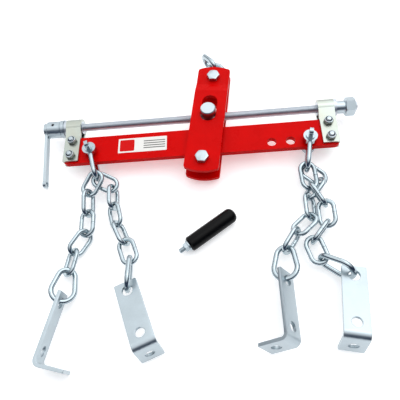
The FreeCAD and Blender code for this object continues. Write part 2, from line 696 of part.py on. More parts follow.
def bracket_place(letter, end, wire_way):
    """Bracket pulled back until the edge of its chain hole is on the ring's wire."""
    axes = facing(*BRACKETS[letter])
    slope = math.tan(wire_way.getAngle(axes[2]))
    free = number("chain_hole / 2 - seat_gap")
    taken = size("bracket_thick") / 2 * abs(slope) + size("ring_wire") / 2 * math.hypot(1, slope)
    return FreeCAD.Placement(end + axes[0] * (free - taken), turned(axes))


def make_bracket(letter, place):
    """Bent flat bracket hung by the hole of its long leg."""
    body = new_body("bracket_" + letter)
    side = new_sketch(body, "XZ_Plane")
    near, far = "bracket_thick / 2", "long_leg - chain_hole_edge"
    outer, tail = "bend_inner + bracket_thick", "bracket_thick / 2 - short_leg"
    outline(side, [
        ("-chain_hole_edge", near), ("-chain_hole_edge", "-" + near),
        ("%s - (%s)" % (far, outer), "-" + near, "bend_inner", "right"),
        (far + " - bracket_thick", "%s - (%s)" % (near, outer)), (far + " - bracket_thick", tail),
        (far, tail),
        (far, "%s - (%s)" % (near, outer), outer, "left"), ("%s - (%s)" % (far, outer), near)])
    strip = pad(body, side, "bracket_width", both=True)
    ends = (number("-chain_hole_edge"), number(tail))
    thick = size("bracket_thick")
    round_edges(body, strip, "bracket_corner",
                lambda e: (along(e, AXIS_Z, thick) and abs(e.Vertexes[0].X - ends[0]) < 1e-3)
                or (along(e, AXIS_X, thick) and abs(e.Vertexes[0].Z - ends[1]) < 1e-3))
    drilled = new_sketch(body, "XY_Plane")
    circle(drilled, "chain_hole / 2")
    circle(drilled, "bolt_hole / 2", far + " - long_hole_back", "0")
    pocket_through(body, drilled)
    foot = new_sketch(body, "YZ_Plane", far)
    circle(foot, "bolt_hole / 2", "0", tail + " + short_hole_back")
    cut = body.newObject("PartDesign::Pocket", body.Label + "_foot")
    cut.Profile = foot
    cut.Length = number("bracket_thick * 2")
    drive(cut, "Length", "bracket_thick * 2")
    body.Placement = place


def make_chains():
    for letter in STRANDS:
        places, bracket = lay_strand(letter)
        for i, place in enumerate(places[:-1], 1):
            label = "chain_%s_link_%d" % (letter, i)
            body = make_loop(label, "wire", "link_length", "link_width", "link_width")
            body.Placement = place
        ring = make_loop("chain_%s_ring" % letter, "ring_wire", "ring_length", "ring_wide", "ring_narrow")
        ring.Placement = places[-1]
        make_bracket(letter, bracket)


def make_grip():
    """Loose crank grip on the table: a sleeve that turns on a hexed stud."""
    place = FreeCAD.Placement(Vec(size("grip_x"), size("grip_y"), size("grip_dia") / 2)
                              - Vec(size("origin_x"), size("origin_y"), 0),
                              FreeCAD.Rotation(AXIS_Z, size("grip_heading")))
    grip = new_body("crank_grip")
    half = new_sketch(grip, "XY_Plane")
    bore = "stud_dia / 2 + run_fit"
    outline(half, [
        ("-grip_length / 2", bore), ("-grip_length / 2 + stud_depth", bore),
        ("-grip_length / 2 + stud_depth", "0"), ("grip_length / 2", "0"),
        ("grip_length / 2", "grip_dia / 2 - grip_round", "grip_round", "left"),
        ("grip_length / 2 - grip_round", "grip_dia / 2"), ("-grip_length / 2 + grip_bevel", "grip_dia / 2"),
        ("-grip_length / 2", "grip_dia / 2 - grip_bevel")])
    spin = grip.newObject("PartDesign::Revolution", "crank_grip_spin")
    spin.Profile = half
    spin.ReferenceAxis = (half, ["H_Axis"])
    spin.Angle = 360
    half.Visibility = False
    grip.Placement = place
    stud = new_body("grip_stud")
    face = "-grip_length / 2 - end_gap"
    rod = new_sketch(stud, "YZ_Plane", face + " - stud_flange_thick - hex_thick - stud_length")
    circle(rod, "stud_dia / 2")
    pad(stud, rod, "stud_length + hex_thick + stud_flange_thick + end_gap + stud_depth - stud_play")
    flats = new_sketch(stud, "YZ_Plane", face + " - stud_flange_thick")
    hexagon(flats, "stud_hex")
    pad(stud, flats, "hex_thick", back=True)
    rim = new_sketch(stud, "YZ_Plane", face)
    circle(rim, "stud_flange / 2")
    pad(stud, rim, "stud_flange_thick", back=True)
    stud.Placement = place


make_bar()
for name, hand in (("left", -1), ("right", 1)):
    make_strap("end_strap_" + name, hand)
    make_bush("screw_bush_" + name, hand)
make_strap_bolts()
make_screw_line()
make_trolley()
make_lift_links()
for name in ("left", "right"):
    make_shackle(name)
make_chains()
make_grip()
doc.recompute()

pieces = [thing for thing in doc.Objects if thing.TypeId == "PartDesign::Body"]
for thing in doc.Objects:
    if "Invalid" in thing.State or "Error" in thing.State:
        raise ValueError("not built: " + thing.Label)
for piece in pieces:
    if piece.Shape.isNull() or not piece.Shape.isValid():
        raise ValueError("no sound shape: " + piece.Label)
os.makedirs("parts", exist_ok=True)
for piece in pieces:
    piece.Shape.exportStep("parts/%s.step" % piece.Label)
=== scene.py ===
import json
import math

import bpy
from mathutils import Matrix, Vector


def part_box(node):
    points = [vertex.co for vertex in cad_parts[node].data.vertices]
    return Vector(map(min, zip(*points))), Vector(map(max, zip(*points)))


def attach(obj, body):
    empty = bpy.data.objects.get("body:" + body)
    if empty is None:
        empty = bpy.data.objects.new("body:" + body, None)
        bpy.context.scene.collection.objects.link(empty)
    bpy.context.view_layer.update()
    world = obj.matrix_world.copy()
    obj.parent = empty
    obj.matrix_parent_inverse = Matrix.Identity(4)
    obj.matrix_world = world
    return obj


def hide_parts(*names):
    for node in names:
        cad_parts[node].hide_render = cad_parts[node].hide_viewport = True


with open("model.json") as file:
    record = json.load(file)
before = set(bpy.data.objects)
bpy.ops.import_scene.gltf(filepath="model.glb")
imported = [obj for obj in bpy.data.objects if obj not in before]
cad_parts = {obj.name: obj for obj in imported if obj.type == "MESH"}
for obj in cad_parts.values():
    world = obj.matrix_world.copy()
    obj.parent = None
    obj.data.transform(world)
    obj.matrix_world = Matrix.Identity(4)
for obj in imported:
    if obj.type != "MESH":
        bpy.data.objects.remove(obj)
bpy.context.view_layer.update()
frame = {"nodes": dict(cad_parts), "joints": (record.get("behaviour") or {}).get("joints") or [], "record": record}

bl_info = {
    "name": "Engine load leveler",
    "version": (1, 0, 0),
    "blender": (4, 5, 0),
    "location": "View3D > Sidebar > Leveler",
    "description": "Finishes, threads, fasteners, brackets, welds and label of an engine load leveler",
    "category": "Object",
}

NODES = frame["nodes"]
RECORD = frame["record"]
JOINTS = {joint["name"]: joint for joint in frame["joints"]}
SLOT_OF = {part["node"]: part["material_slot"] for part in RECORD["subparts"]}
MOUNTS = {mount["name"]: mount for mount in RECORD["mounts"]}
BODY_OF = {node: body for body, nodes in RECORD["behaviour"]["bodies"].items() for node in nodes}
MM = 0.001

# Nodes of bent wire, by the start of their names
WIRE = ("chain_", "shackle_", "lift_link_")
STRANDS, LINKS = "abcd", 5

# Tones that no setting changes: of small pieces and print, and those that platings drift to; the nut tones are a
# darker zinc, painted shade on the sides of the locking nuts
YELLOW_DRIFT = (0.42, 0.48, 0.45)
SPRING_STEEL, SPRING_DRIFT = (0.06, 0.06, 0.07), (0.03, 0.03, 0.04)
# Darker copy of the zinc for the locking nuts' hexagons: painted shade on their sides under the bright collar
NUT_SHADED_ZINC, NUT_SHADED_DRIFT = (0.2, 0.21, 0.19), (0.14, 0.15, 0.13)
PRINT_GREY = (0.16, 0.16, 0.15)
# Height of a bumped skin at full strength
GRAIN_HEIGHT = 0.2 * MM

# Edges flatter than this are shaded as one surface
SMOOTH = math.radians(32)
# Heights nearer than this count as the same, in metres
SAME = 1e-7
# Sides of round bars and of the cones that turn off corners, and steps of a softened rim
ROUND_SIDES, CONE_SIDES, RIM_STEPS = 48, 64, 2
# A hexagon's crown: its flat as a share of the width across flats, and its slope
CROWN_FLAT, CROWN_SLOPE = 0.475, math.radians(60)
# A thread's ridge: its sunk foot as a share of the depth, half its foot and crest as shares of the pitch,
# and the fewest turns left free at its ends
RIDGE_SINK, RIDGE_FOOT, RIDGE_CREST, RIDGE_FREE = 1.15, 0.42, 0.06, 0.9
# Depth and pitch of bolt threads as shares of the shank
BOLT_DEPTH, STRAP_PITCH, TROLLEY_PITCH, STUD_PITCH = 0.06, 0.16, 0.145, 0.155
# Shank of the strap bolts as a share of their width across flats
STRAP_SHANK = 4 / 7
# Softened rims of plain rods and of the stud's flange as shares of their radius
ROD_RIM, FLANGE_RIM = 1 / 8, 1 / 16
# How far the lead screw's thread runs in under the straps
THREAD_LAP = 2 * MM
# Locking nut: shoulder and step as shares of its height, collar and insert radius as shares of its width; the
# insert's black ring is partly painted shade in the gap round the bolt's end
NUT_SHOULDER, NUT_STEP, NUT_COLLAR, NUT_INSERT_SHADE = 0.6, 0.12, 0.48, 0.4
# Weld: steps around the wire and around its bead
WELD_STEPS, BEAD_STEPS = 32, 10
# Bracket: steps of the outer bend, the inner bend and a corner, width of its soft edges as a share of the
# thickness, and the least angle of an edge that is softened
OUTER_STEPS, INNER_STEPS, CORNER_STEPS = 10, 8, 3
SOFT_SHARE, SOFT_ANGLE = 1 / 12, math.radians(40)
# Label: thickness of film and print, corner and its steps, and margin as a share of half its width
FILM, PRINT, FILM_CORNER, SHEET_STEPS, FILM_MARGIN = 0.2 * MM, 0.05 * MM, 1.2 * MM, 4, 0.2
# Rules and block: middles and half width of the rules, length and corner of the block as shares of half the
# printed width, and start of the rules as a share of half the length
RULES, HALF_RULE, RULE_START = (-0.6, -0.2, 0.2, 0.6), 0.08, 0.05
BLOCK_LENGTH, BLOCK_CORNER = 2.2, 0.2

# Table: its size and height in metres, and its least roughness
TABLE_SIZE, TABLE_TOP, TABLE_ROUGH = 12, -0.5 * MM, 0.4
# Light: its place, the point that it faces and its diameter, in metres
LAMPS = {
    "key": ((0.9, 1.6, 2.0), (0.0, 0.0, 0.0), 3.0),
    "fill": ((1.0, 0.4, 2.4), (0.0, -0.05, 0.0), 2.0),
    "glint": ((-0.9, 0.3, 1.6), (0.0, 0.0, 0.0), 0.2),
}
# Tent: the way to its bright middle, where it starts and ends to brighten, its two colours and the backdrop
TENT_WAY, TENT_FROM, TENT_TO = (0.0, 0.45, 0.9), 0.3, 0.7
TENT_OPEN, TENT_WHITE, BACKDROP = (0.03, 0.045, 0.08), (0.98, 0.99, 1.0), (1.0, 1.0, 1.0)
# Camera: yaw, pitch and roll in degrees, and place from the middle of the bar's lower edge and width of its
# frame in mm
CAMERA_TURN, CAMERA_PLACE, FRAME_WIDTH = (-10.45, 62.9, -13.0), (55.7, -375.8, 616.7), 36


# User settings


class LevelerFinishes(bpy.types.PropertyGroup):
    """Colours of the finishes."""

    paint: bpy.props.FloatVectorProperty(
        name="Paint", description="Gloss paint of the bar and the trolley plates",
        subtype="COLOR", size=3, min=0, max=1, default=(0.67, 0.0012, 0.001))
    zinc: bpy.props.FloatVectorProperty(
        name="Bright zinc", description="Plating of brackets, fasteners and turned pieces",
        subtype="COLOR", size=3, min=0, max=1, default=(0.47, 0.54, 0.58))
    wire_zinc: bpy.props.FloatVectorProperty(
        name="Wire zinc", description="Smoother plating of chain links, rings and shackles",
        subtype="COLOR", size=3, min=0, max=1, default=(0.46, 0.54, 0.58))
    yellow_zinc: bpy.props.FloatVectorProperty(
        name="Yellow zinc", description="Passivated plating of the end straps",
        subtype="COLOR", size=3, min=0, max=1, default=(0.46, 0.48, 0.42))
    steel: bpy.props.FloatVectorProperty(
        name="Screw steel", description="Bare machined steel of the lead screw",
        subtype="COLOR", size=3, min=0, max=1, default=(0.56, 0.61, 0.66))
    grip: bpy.props.FloatVectorProperty(
        name="Grip", description="Moulded grip of the crank",
        subtype="COLOR", size=3, min=0, max=1, default=(0.002, 0.002, 0.0022))
    label: bpy.props.FloatVectorProperty(
        name="Label", description="Film of the plain label on the bar",
        subtype="COLOR", size=3, min=0, max=1, default=(0.88, 0.87, 0.83))


class LevelerSizes(bpy.types.PropertyGroup):
    """Sizes of the added detail."""

    screw_pitch: bpy.props.FloatProperty(
        name="Screw pitch", description="Advance of the lead screw in one turn",
        unit="LENGTH", default=2 * MM, min=1 * MM)
    screw_depth: bpy.props.FloatProperty(
        name="Screw thread depth", description="Height of the lead screw's thread",
        unit="LENGTH", default=0.5 * MM, min=0.1 * MM)
    weld_height: bpy.props.FloatProperty(
        name="Weld height", description="How far a link's weld stands out of its wire",
        unit="LENGTH", default=0.35 * MM, min=0)
    link_wire: bpy.props.FloatProperty(
        name="Link wire", description="Diameter of the chain's wire", unit="LENGTH", default=7 * MM)
    link_width: bpy.props.FloatProperty(
        name="Link width", description="Between the middles of a link's two sides",
        unit="LENGTH", default=23 * MM)
    bracket_long: bpy.props.FloatProperty(
        name="Bracket's long leg", description="Length of a bracket's long leg over the bend",
        unit="LENGTH", default=104 * MM)
    bracket_short: bpy.props.FloatProperty(
        name="Bracket's short leg", description="Length of a bracket's short leg over the bend",
        unit="LENGTH", default=46 * MM)
    bracket_width: bpy.props.FloatProperty(
        name="Bracket width", description="Width of the brackets' flat bar", unit="LENGTH", default=34 * MM)
    bracket_bend: bpy.props.FloatProperty(
        name="Bracket bend", description="Inner radius of a bracket's bend", unit="LENGTH", default=5 * MM)
    bracket_corner: bpy.props.FloatProperty(
        name="Bracket corner", description="Radius of a bracket's sheared corners",
        unit="LENGTH", default=1.5 * MM)
    bracket_hole: bpy.props.FloatProperty(
        name="Long hole", description="From a bracket's bend to the bolt hole of its long leg",
        unit="LENGTH", default=21 * MM)
    chain_hole: bpy.props.FloatProperty(
        name="Chain hole", description="Diameter of the hole that the chain's ring passes",
        unit="LENGTH", default=16 * MM)
    chain_edge: bpy.props.FloatProperty(
        name="Chain hole edge", description="From the long leg's end to the middle of the chain hole",
        unit="LENGTH", default=15 * MM)
    trolley_hex: bpy.props.FloatProperty(
        name="Trolley hexagon", description="Across the flats of the trolley's bolts",
        unit="LENGTH", default=19 * MM)
    trolley_head: bpy.props.FloatProperty(
        name="Trolley bolt head", description="Height of the trolley's bolt heads",
        unit="LENGTH", default=7.5 * MM)
    trolley_shank: bpy.props.FloatProperty(
        name="Trolley shank", description="Diameter of the trolley's bolts", unit="LENGTH", default=12 * MM)
    end_hex: bpy.props.FloatProperty(
        name="End nut hexagon", description="Across the flats of the screw's end nut",
        unit="LENGTH", default=27 * MM)
    stud_hex: bpy.props.FloatProperty(
        name="Stud hexagon", description="Across the flats of the grip's stud",
        unit="LENGTH", default=13 * MM)
    stud_shank: bpy.props.FloatProperty(
        name="Stud shank", description="Diameter of the grip's stud", unit="LENGTH", default=8 * MM)
    stud_thread: bpy.props.FloatProperty(
        name="Stud thread", description="Length of the stud's free thread", unit="LENGTH", default=9 * MM)
    stud_head: bpy.props.FloatProperty(
        name="Stud head", description="Height of the stud's hexagon", unit="LENGTH", default=6 * MM)
    stud_flange: bpy.props.FloatProperty(
        name="Stud flange", description="Thickness of the stud's flange", unit="LENGTH", default=2.5 * MM)
    label_length: bpy.props.FloatProperty(
        name="Label length", description="Label's size along the bar", unit="LENGTH", default=82 * MM)
    label_width: bpy.props.FloatProperty(
        name="Label width", description="Label's size across the bar", unit="LENGTH", default=28 * MM)
    label_offset: bpy.props.FloatProperty(
        name="Label offset", description="Label's middle from the middle of the bar",
        unit="LENGTH", default=-92.5 * MM)
    label_rise: bpy.props.FloatProperty(
        name="Label rise", description="Label's middle from the bar's lower edge",
        unit="LENGTH", default=27.5 * MM)


class LevelerStage(bpy.types.PropertyGroup):
    """Floor, lights and camera."""

    floor: bpy.props.FloatVectorProperty(
        name="Floor", description="Colour of the table", subtype="COLOR", size=3, min=0, max=1,
        default=(0.93, 0.93, 0.93))
    glow: bpy.props.FloatProperty(
        name="Table glow", description="Light from under the table's white sheet", default=0.4, min=0)
    key_power: bpy.props.FloatProperty(
        name="Key light", description="Power of the large soft light", unit="POWER", default=14)
    fill_power: bpy.props.FloatProperty(
        name="Fill light", description="Power of the light on the right", unit="POWER", default=8)
    glint_power: bpy.props.FloatProperty(
        name="Glint light", description="Power of the small light that draws highlights",
        unit="POWER", default=0.3)
    tent: bpy.props.FloatProperty(
        name="Tent", description="Strength of the white tent over the table", default=1.32, min=0)
    lens: bpy.props.FloatProperty(
        name="Lens", description="Focal length on a 36 mm frame", unit="CAMERA", default=38.4)


# Shader parts


def add_node(tree, kind, inputs=None, **settings):
    """New node with its settings, and inputs set to values or linked to sockets."""
    made = tree.nodes.new(kind)
    for key, value in settings.items():
        setattr(made, key, value)
    for key, value in (inputs or {}).items():
        if isinstance(value, bpy.types.NodeSocket):
            tree.links.new(value, made.inputs[key])
        else:
            made.inputs[key].default_value = value
    return made


def new_group(name, inputs, outputs):
    """Shader group with float inputs at their defaults and float outputs."""
    group = bpy.data.node_groups.new(name, "ShaderNodeTree")
    for label, default in inputs:
        socket = group.interface.new_socket(label, in_out="INPUT", socket_type="NodeSocketFloat")
        socket.default_value = default
    for label in outputs:
        group.interface.new_socket(label, in_out="OUTPUT", socket_type="NodeSocketFloat")
    return group, group.nodes.new("NodeGroupInput"), group.nodes.new("NodeGroupOutput")


def spread(tree, value, low, high):
    """Stretch a noise value to the whole range from 0 to 1."""
    ranged = add_node(tree, "ShaderNodeMapRange", {"Value": value, "From Min": low, "From Max": high})
    return ranged.outputs["Result"]


def clouds_group():
    """Slow change of tone over a surface, in two sizes."""
    group, start, end = new_group("plating_clouds", [("Size", 60.0), ("Fine", 0.35)], ["Mask"])
    place = add_node(group, "ShaderNodeTexCoord").outputs["Object"]
    broad = add_node(group, "ShaderNodeTexNoise",
                     {"Vector": place, "Scale": start.outputs["Size"], "Detail": 3.0})
    finer = add_node(group, "ShaderNodeMath", {0: start.outputs["Size"], 1: 9.0}, operation="MULTIPLY")
    small = add_node(group, "ShaderNodeTexNoise",
                     {"Vector": place, "Scale": finer.outputs[0], "Detail": 2.0})
    both = add_node(group, "ShaderNodeMix", {"Factor": start.outputs["Fine"], "A": broad.outputs["Fac"],
                                             "B": small.outputs["Fac"]}, data_type="FLOAT")
    group.links.new(spread(group, both.outputs["Result"], 0.33, 0.67), end.inputs["Mask"])
    return group


def scratches_group():
    """Short hairlines left by handling."""
    group, start, end = new_group("hairline_scratches", [("Size", 40.0), ("Share", 0.06)], ["Mask"])
    place = add_node(group, "ShaderNodeTexCoord").outputs["Object"]
    masks = []
    for turn, stretch in ((0.5, 22.0), (-0.9, 16.0)):
        laid = add_node(group, "ShaderNodeMapping", {"Vector": place, "Rotation": (0.3, 0.2, turn),
                                                     "Scale": (1.0, stretch, stretch)})
        noise = add_node(group, "ShaderNodeTexNoise",
                         {"Vector": laid.outputs[0], "Scale": start.outputs["Size"], "Detail": 1.0})
        away = add_node(group, "ShaderNodeMath", {0: noise.outputs["Fac"], 1: 0.5}, operation="SUBTRACT")
        size = add_node(group, "ShaderNodeMath", {0: away.outputs[0]}, operation="ABSOLUTE")
        line = add_node(group, "ShaderNodeMapRange", {"Value": size.outputs[0], "From Min": 0.0,
                                                      "From Max": 0.012, "To Min": 1.0, "To Max": 0.0})
        where = add_node(group, "ShaderNodeTexNoise",
                         {"Vector": place, "Scale": 90.0 + stretch, "Detail": 0.0})
        shown = add_node(group, "ShaderNodeMapRange",
                         {"Value": where.outputs["Fac"], "From Min": 0.58, "From Max": 0.66})
        masks.append(add_node(group, "ShaderNodeMath", {0: line.outputs[0], 1: shown.outputs[0]},
                              operation="MULTIPLY").outputs[0])
    joined = add_node(group, "ShaderNodeMath", {0: masks[0], 1: masks[1]}, operation="MAXIMUM")
    strength = add_node(group, "ShaderNodeMath", {0: start.outputs["Share"], 1: 12.0}, operation="MULTIPLY")
    result = add_node(group, "ShaderNodeMath", {0: joined.outputs[0], 1: strength.outputs[0]},
                      operation="MULTIPLY", use_clamp=True)
    group.links.new(result.outputs[0], end.inputs["Mask"])
    return group


def grain_group():
    """Fine height of a sprayed, plated or moulded skin."""
    group, start, end = new_group("skin_grain", [("Size", 900.0)], ["Height"])
    place = add_node(group, "ShaderNodeTexCoord").outputs["Object"]
    noise = add_node(group, "ShaderNodeTexNoise",
                     {"Vector": place, "Scale": start.outputs["Size"], "Detail": 2.0, "Roughness": 0.45})
    group.links.new(noise.outputs["Fac"], end.inputs["Height"])
    return group


GROUPS = {}


def use_group(tree, name, **values):
    """Place a shared effect in a material with its own values."""
    makers = {"clouds": clouds_group, "scratches": scratches_group, "grain": grain_group}
    if name not in GROUPS:
        GROUPS[name] = makers[name]()
    made = tree.nodes.new("ShaderNodeGroup")
    made.node_tree = GROUPS[name]
    for key, value in values.items():
        made.inputs[key].default_value = value
    return made.outputs[0]


def blend_colour(tree, factor, first, second):
    """Colour between two others by a mask."""
    made = add_node(tree, "ShaderNodeMix", data_type="RGBA")
    tree.links.new(factor, made.inputs["Factor"])
    for socket, colour in ((made.inputs[6], first), (made.inputs[7], second)):
        if isinstance(colour, bpy.types.NodeSocket):
            tree.links.new(colour, socket)
        else:
            socket.default_value = (*colour, 1.0)
    return made.outputs[2]


def between(tree, factor, low, high):
    """Value from low to high by a mask."""
    ranged = add_node(tree, "ShaderNodeMapRange", {"Value": factor, "To Min": low, "To Max": high})
    return ranged.outputs["Result"]


def shade(colour, share):
    """Colour made darker or lighter by a share."""
    return tuple(min(1.0, channel * share) for channel in colour)


def new_material(name, colour, grain, grain_size, **fixed):
    """Principled material with a bumped skin; the caller links colour and roughness."""
    material = bpy.data.materials.new(name)
    material.use_nodes = True
    material.diffuse_color = (*colour, 1.0)
    tree = material.node_tree
    shader = tree.nodes["Principled BSDF"]
    for key, value in fixed.items():
        shader.inputs[key.replace("_", " ")].default_value = value
    height = use_group(tree, "grain", Size=grain_size)
    bump = add_node(tree, "ShaderNodeBump", {"Height": height, "Strength": grain, "Distance": GRAIN_HEIGHT})
    tree.links.new(bump.outputs["Normal"], shader.inputs["Normal"])
    return material, tree, shader


def gloss_paint(colour):
    """Sprayed paint with faint cloudiness and hairlines."""
    material, tree, shader = new_material("gloss_paint", colour, grain=0.08, grain_size=420.0,
                                          Specular_IOR_Level=0.04)
    clouds = use_group(tree, "clouds", Size=28.0, Fine=0.2)
    marks = use_group(tree, "scratches", Size=26.0, Share=0.03)
    tone = blend_colour(tree, clouds, shade(colour, 0.88), colour)
    tree.links.new(blend_colour(tree, marks, tone, shade(colour, 1.2)), shader.inputs["Base Color"])
    tree.links.new(between(tree, clouds, 0.24, 0.34), shader.inputs["Roughness"])
    return material


def plated(name, colour, drift, rough, cloud_size, grain=0.08, marked=0.03):
    """Electroplated steel whose tone and gloss drift over the surface."""
    material, tree, shader = new_material(name, colour, grain, grain_size=1100.0, Metallic=1.0)
    clouds = use_group(tree, "clouds", Size=cloud_size, Fine=0.25)
    marks = use_group(tree, "scratches", Size=34.0, Share=marked)
    tone = blend_colour(tree, clouds, drift, colour)
    tree.links.new(blend_colour(tree, marks, tone, shade(colour, 1.15)), shader.inputs["Base Color"])
    tree.links.new(between(tree, clouds, rough[0], rough[1]), shader.inputs["Roughness"])
    return material


def machined_steel(colour):
    """Rolled screw steel with painted shade: the thread's root is darker than its crest."""
    material, tree, shader = new_material("machined_steel", colour, grain=0.2, grain_size=800.0,
                                          Metallic=1.0)
    low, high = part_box("lead_screw")
    middle, radius = (low + high) / 2, (high.z - low.z) / 2
    root = radius - bpy.context.scene.leveler_sizes.screw_depth
    place = add_node(tree, "ShaderNodeTexCoord").outputs["Object"]
    from_axis = add_node(tree, "ShaderNodeMapping",
                         {"Vector": place, "Location": (0, -middle.y, -middle.z), "Scale": (0, 1, 1)})
    reach = add_node(tree, "ShaderNodeVectorMath", {0: from_axis.outputs[0]}, operation="LENGTH")
    crest = add_node(tree, "ShaderNodeMapRange",
                     {"Value": reach.outputs["Value"], "From Min": root, "From Max": radius})
    clouds = use_group(tree, "clouds", Size=50.0, Fine=0.5)
    tone = blend_colour(tree, clouds, shade(colour, 0.85), shade(colour, 1.1))
    # Painted shade in the thread's root, darker than the crest
    painted_root_shade = blend_colour(tree, crest.outputs["Result"], shade(colour, 0.8), tone)
    tree.links.new(painted_root_shade, shader.inputs["Base Color"])
    tree.links.new(between(tree, clouds, 0.36, 0.48), shader.inputs["Roughness"])
    return material


def moulded(colour):
    """Semi-gloss moulding with a fine skin."""
    material, tree, shader = new_material("moulded_black", colour, grain=0.12, grain_size=700.0,
                                          Specular_IOR_Level=0.1)
    clouds = use_group(tree, "clouds", Size=70.0, Fine=0.5)
    tree.links.new(blend_colour(tree, clouds, colour, shade(colour, 1.9)), shader.inputs["Base Color"])
    tree.links.new(between(tree, clouds, 0.16, 0.24), shader.inputs["Roughness"])
    return material


def label_film(name, colour, rough):
    """Printed film with a trace of unevenness."""
    material, tree, shader = new_material(name, colour, grain=0.06, grain_size=500.0,
                                          Specular_IOR_Level=0.1)
    clouds = use_group(tree, "clouds", Size=90.0, Fine=0.3)
    tree.links.new(blend_colour(tree, clouds, shade(colour, 0.95), colour), shader.inputs["Base Color"])
    tree.links.new(between(tree, clouds, rough, rough + 0.1), shader.inputs["Roughness"])
    return material


FINISHES = {}


def finish(name):
    """The finished material of a record slot or a print colour."""
    look = bpy.context.scene.leveler_finishes
    zinc, wire, yellow = tuple(look.zinc), tuple(look.wire_zinc), tuple(look.yellow_zinc)
    makers = {
        "red_paint": lambda: gloss_paint(tuple(look.paint)),
        "bright_zinc": lambda: plated("bright_zinc", zinc, shade(zinc, 0.9), rough=(0.28, 0.38),
                                      cloud_size=45.0),
        "wire_zinc": lambda: plated("wire_zinc", wire, shade(wire, 0.85), rough=(0.14, 0.22),
                                    cloud_size=40.0, grain=0.03, marked=0.01),
        "yellow_zinc": lambda: plated("yellow_zinc", yellow, YELLOW_DRIFT, rough=(0.26, 0.36),
                                      cloud_size=36.0),
        "screw_steel": lambda: machined_steel(tuple(look.steel)),
        "dark_steel": lambda: plated("dark_steel", SPRING_STEEL, SPRING_DRIFT, rough=(0.4, 0.5),
                                     cloud_size=80.0),
        # Darker zinc of the locking nuts' hexagons, painted shade on their sides
        "nut_zinc": lambda: plated("nut_zinc", NUT_SHADED_ZINC, NUT_SHADED_DRIFT, rough=(0.3, 0.4), cloud_size=60.0),
        "black_plastic": lambda: moulded(tuple(look.grip)),
        "label_film": lambda: label_film("label_film", tuple(look.label), rough=0.35),
        "label_red": lambda: label_film("label_red", tuple(look.paint), rough=0.3),
        "label_grey": lambda: label_film("label_grey", PRINT_GREY, rough=0.4),
    }
    if name not in FINISHES:
        FINISHES[name] = makers[name]()
    return FINISHES[name]


# Modelling steps


def deselect():
    """Leave edit mode with nothing selected."""
    if bpy.context.object and bpy.context.object.mode != "OBJECT":
        bpy.ops.object.mode_set(mode="OBJECT")
    bpy.ops.object.select_all(action="DESELECT")


def activate(piece):
    """Select one piece alone."""
    deselect()
    piece.select_set(True)
    bpy.context.view_layer.objects.active = piece


def apply_modifiers(piece):
    """Put a piece's modifiers into its mesh."""
    activate(piece)
    for modifier in list(piece.modifiers):
        bpy.ops.object.modifier_apply(modifier=modifier.name)


def boolean(piece, cutter, operation):
    """Cut a piece with another one, which goes."""
    modifier = piece.modifiers.new("cut", "BOOLEAN")
    modifier.operation = operation
    modifier.solver = "EXACT"
    modifier.object = cutter
    apply_modifiers(piece)
    activate(cutter)
    bpy.ops.object.delete()
    return piece


def cylinder(radius, low, high, sides=ROUND_SIDES):
    """Round bar on the Z axis from low to high."""
    deselect()
    bpy.ops.mesh.primitive_cylinder_add(vertices=sides, radius=radius, depth=high - low,
                                        location=(0, 0, (low + high) / 2))
    bpy.ops.object.transform_apply(location=True, rotation=True, scale=True)
    return bpy.context.object


def cone(low_radius, high_radius, low, high):
    """Cone on the Z axis from low to high."""
    deselect()
    bpy.ops.mesh.primitive_cone_add(vertices=CONE_SIDES, radius1=low_radius, radius2=high_radius,
                                    depth=high - low, location=(0, 0, (low + high) / 2))
    bpy.ops.object.transform_apply(location=True, rotation=True, scale=True)
    return bpy.context.object


def bevel_edges(piece, chosen, width, segments):
    """Bevel the edges whose two end points pass a test."""
    activate(piece)
    bpy.ops.object.mode_set(mode="EDIT")
    bpy.ops.mesh.select_mode(type="EDGE")
    bpy.ops.mesh.select_all(action="DESELECT")
    bpy.ops.object.mode_set(mode="OBJECT")
    for edge in piece.data.edges:
        edge.select = chosen(*(piece.data.vertices[i].co for i in edge.vertices))
    bpy.ops.object.mode_set(mode="EDIT")
    bpy.ops.mesh.bevel(offset=width, segments=segments, affect="EDGES")
    bpy.ops.object.mode_set(mode="OBJECT")
    return piece


def select_faces(piece, chosen):
    """Enter edit mode with the faces that pass a test selected."""
    activate(piece)
    bpy.ops.object.mode_set(mode="EDIT")
    bpy.ops.mesh.select_mode(type="FACE")
    bpy.ops.mesh.select_all(action="DESELECT")
    bpy.ops.object.mode_set(mode="OBJECT")
    for face in piece.data.polygons:
        face.select = chosen(face)
    bpy.ops.object.mode_set(mode="EDIT")


def bevel_rims(piece, width):
    """Soften the rims at both ends of a round bar."""
    heights = [vertex.co.z for vertex in piece.data.vertices]
    low, high = min(heights), max(heights)

    def on_rim(first, second):
        return abs(first.z - second.z) < SAME and min(first.z - low, high - first.z) < SAME

    return bevel_edges(piece, on_rim, width, RIM_STEPS)


def hex_block(across, low, high, crowns):
    """Hexagon on the Z axis with corners on X, its corners turned off at the named ends."""
    block = cylinder(across / math.sqrt(3), low, high, sides=6)
    activate(block)
    bpy.ops.object.mode_set(mode="EDIT")
    bpy.ops.mesh.select_all(action="SELECT")
    bpy.ops.transform.rotate(value=math.radians(30), orient_axis="Z", center_override=(0, 0, 0))
    bpy.ops.object.mode_set(mode="OBJECT")
    flat, reach = across * CROWN_FLAT, 2 * (high - low)
    wide = flat + math.tan(CROWN_SLOPE) * reach
    if "high" in crowns:
        boolean(block, cone(wide, flat, high - reach, high), "INTERSECT")
    if "low" in crowns:
        boolean(block, cone(flat, wide, low, low + reach), "INTERSECT")
    return block


